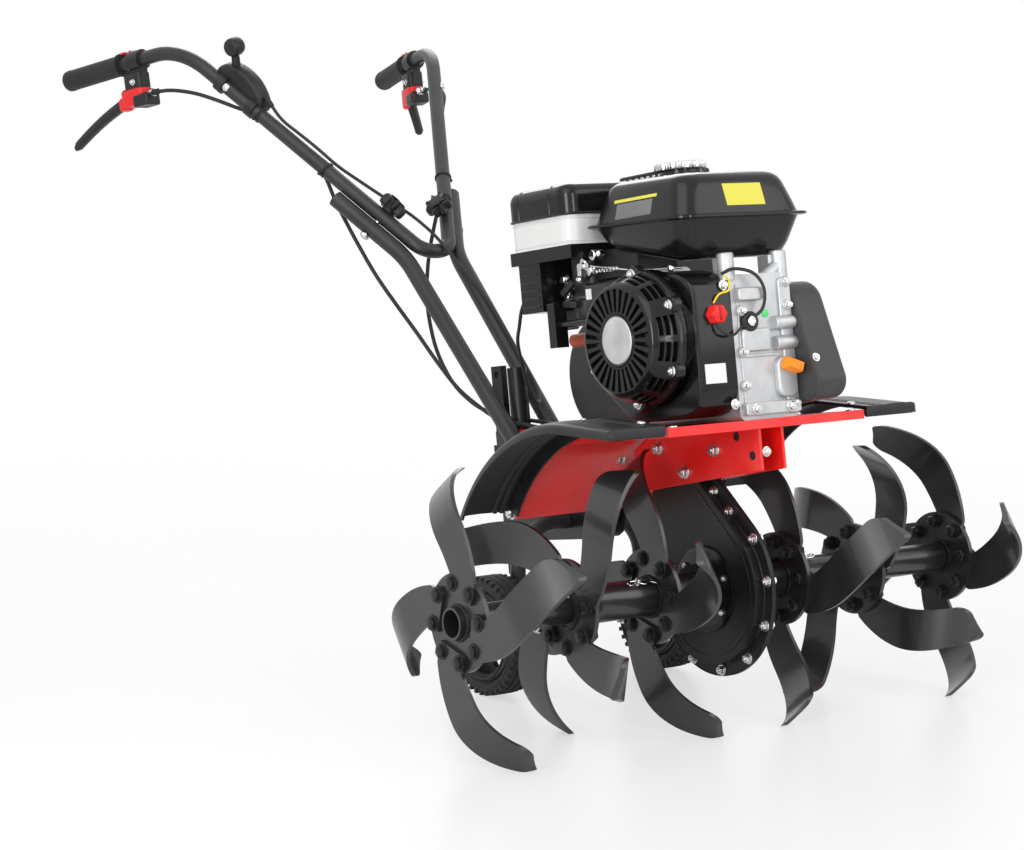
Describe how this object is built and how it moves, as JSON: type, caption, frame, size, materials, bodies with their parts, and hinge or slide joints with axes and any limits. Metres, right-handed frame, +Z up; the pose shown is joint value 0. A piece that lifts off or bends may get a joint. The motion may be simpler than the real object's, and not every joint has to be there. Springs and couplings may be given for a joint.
{
  "type": "rotary tiller",
  "caption": "Walk-behind petrol rotary tiller with sickle tines on a driven axle, transport wheels on a bow and a V-shaped handlebar.",
  "frame": {"origin": "on the floor, under the middle of the machine's overall length, width and height box", "axes": "+X forward along the machine, +Y to its left, +Z up; the tine axle lies along Y"},
  "size_m": [1.4622, 0.85, 0.9279],
  "materials": {
    "bare_steel": "turned",
    "black_paint": "satin",
    "black_plastic": "matt",
    "cast_aluminium": "as cast",
    "chrome": "polished",
    "gloss_black": "gloss",
    "orange_plastic": "satin",
    "red_paint": "gloss",
    "red_plastic": "gloss",
    "rubber": "matt",
    "satin_black": "satin powder coat",
    "tyre": "matt",
    "white_plastic": "satin"
  },
  "bodies": {
    "machine": {"air_cleaner_band": "white_plastic", "air_cleaner_base": "gloss_black", "air_cleaner_cover": "gloss_black", "belt_cover": "gloss_black", "carburettor": "cast_aluminium", "chain_case_left": "black_paint", "chain_case_right": "black_paint", "clamp_knob_left": "black_plastic", "clamp_knob_right": "black_plastic", "clutch_cables": "rubber", "clutch_lever_left": "black_plastic", "clutch_lever_right": "black_plastic", "crankcase": "cast_aluminium", "cylinder": "cast_aluminium", "depth_spur": "black_paint", "engine_deck": "red_paint", "engine_switch": "red_plastic", "fan_housing": "gloss_black", "fender_left": "black_plastic", "fender_right": "black_plastic", "fuel_tank": "gloss_black", "grip_left": "rubber", "grip_right": "rubber", "lever_clamp_left": "black_plastic", "lever_clamp_right": "black_plastic", "lower_handle_left": "satin_black", "lower_handle_right": "satin_black", "muffler": "black_paint", "oil_filler": "orange_plastic", "rear_frame": "red_paint", "rear_guard": "red_paint", "recoil_starter": "gloss_black", "side_plate_left": "red_paint", "side_plate_right": "red_paint", "spark_plug_cap": "orange_plastic", "spur_socket": "black_paint", "starter_grip": "gloss_black", "tank_brackets": "cast_aluminium", "tank_cap": "chrome", "throttle_cable": "rubber", "throttle_control": "black_plastic", "upper_handle": "satin_black", "wheel_bow": "satin_black", "wheel_post": "black_paint"},
    "tine_rotor": {"hub_plates_left": "black_paint", "hub_plates_right": "black_paint", "hub_sleeve_left": "black_paint", "hub_sleeve_right": "black_paint", "tine_shaft": "bare_steel", "tines_inner_left": "black_paint", "tines_inner_right": "black_paint", "tines_middle_left": "black_paint", "tines_middle_right": "black_paint", "tines_outer_left": "black_paint", "tines_outer_right": "black_paint"},
    "wheel_right": {"tyre_right": "tyre", "rim_right": "black_plastic"},
    "wheel_left": {"tyre_left": "tyre", "rim_left": "black_plastic"}
  },
  "joints": [
    {"name": "tine_rotor_spin", "type": "hinge", "parent": "machine", "child": "tine_rotor", "pos_m": [0.54866, 0, 0.18184], "axis": [0, 1, 0], "continuous": true},
    {"name": "wheel_right_spin", "type": "hinge", "parent": "machine", "child": "wheel_right", "pos_m": [0.24788, -0.15, 0.085], "axis": [0, 1, 0], "continuous": true},
    {"name": "wheel_left_spin", "type": "hinge", "parent": "machine", "child": "wheel_left", "pos_m": [0.24788, 0.15, 0.085], "axis": [0, 1, 0], "continuous": true}
  ]
}
